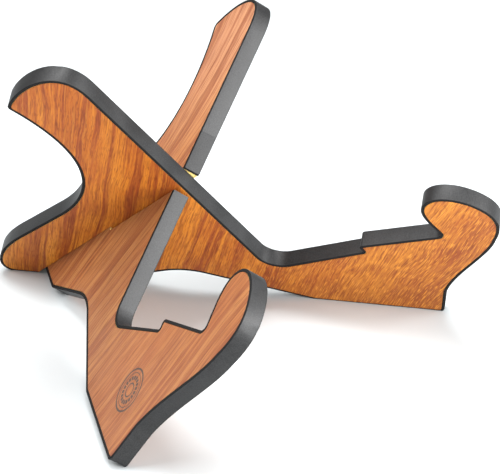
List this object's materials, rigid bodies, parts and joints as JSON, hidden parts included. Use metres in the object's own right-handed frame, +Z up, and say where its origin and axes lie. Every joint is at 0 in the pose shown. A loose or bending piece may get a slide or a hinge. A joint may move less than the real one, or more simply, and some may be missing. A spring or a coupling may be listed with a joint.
{
  "type": "slot-together instrument stand",
  "caption": "Knock-down wooden instrument stand: two flat shaped boards that slot together in an X, with stepped ledges, front hooks and leaning arms that cradle a guitar-like body.",
  "frame": {"origin": "on the floor under the middle of the stand's footprint", "axes": "+Z up, -Y the front, where the instrument sits, and +X to the right seen along +Y; the two boards mirror each other about X = 0"},
  "size_m": [0.3172, 0.3492, 0.2143],
  "materials": {
    "core_wood": "raw pale wood, cut and unfinished",
    "top_veneer": "satin lacquered wood-grain face, amber with red-brown streaks",
    "base_veneer": "satin lacquered wood-grain face, salmon brown with straight fine grain",
    "edge_trim": "dark grey satin edge trim with eased arrises"
  },
  "bodies": {
    "base_board": {"base_board_core": "core_wood", "base_board_left_veneer": "base_veneer", "base_board_right_veneer": "base_veneer", "base_board_back_trim": "edge_trim", "base_board_heel_trim": "edge_trim", "base_board_sole_trim": "edge_trim", "base_board_hook_trim": "edge_trim", "base_board_upper_ledge_trim": "edge_trim", "base_board_arm_trim": "edge_trim", "base_board_closing_trim": "edge_trim", "base_board_shin_trim": "edge_trim"},
    "top_board": {"top_board_core": "core_wood", "top_board_left_veneer": "top_veneer", "top_board_right_veneer": "top_veneer", "top_board_back_trim": "edge_trim", "top_board_heel_trim": "edge_trim", "top_board_sole_trim": "edge_trim", "top_board_hook_trim": "edge_trim", "top_board_upper_ledge_trim": "edge_trim", "top_board_front_trim": "edge_trim"}
  },
  "joints": [
    {"name": "top_board_lift", "type": "slide", "parent": "base_board", "child": "top_board", "axis": [0, -0.7907, 0.6122], "range_m": [0, 0.12]}
  ]
}
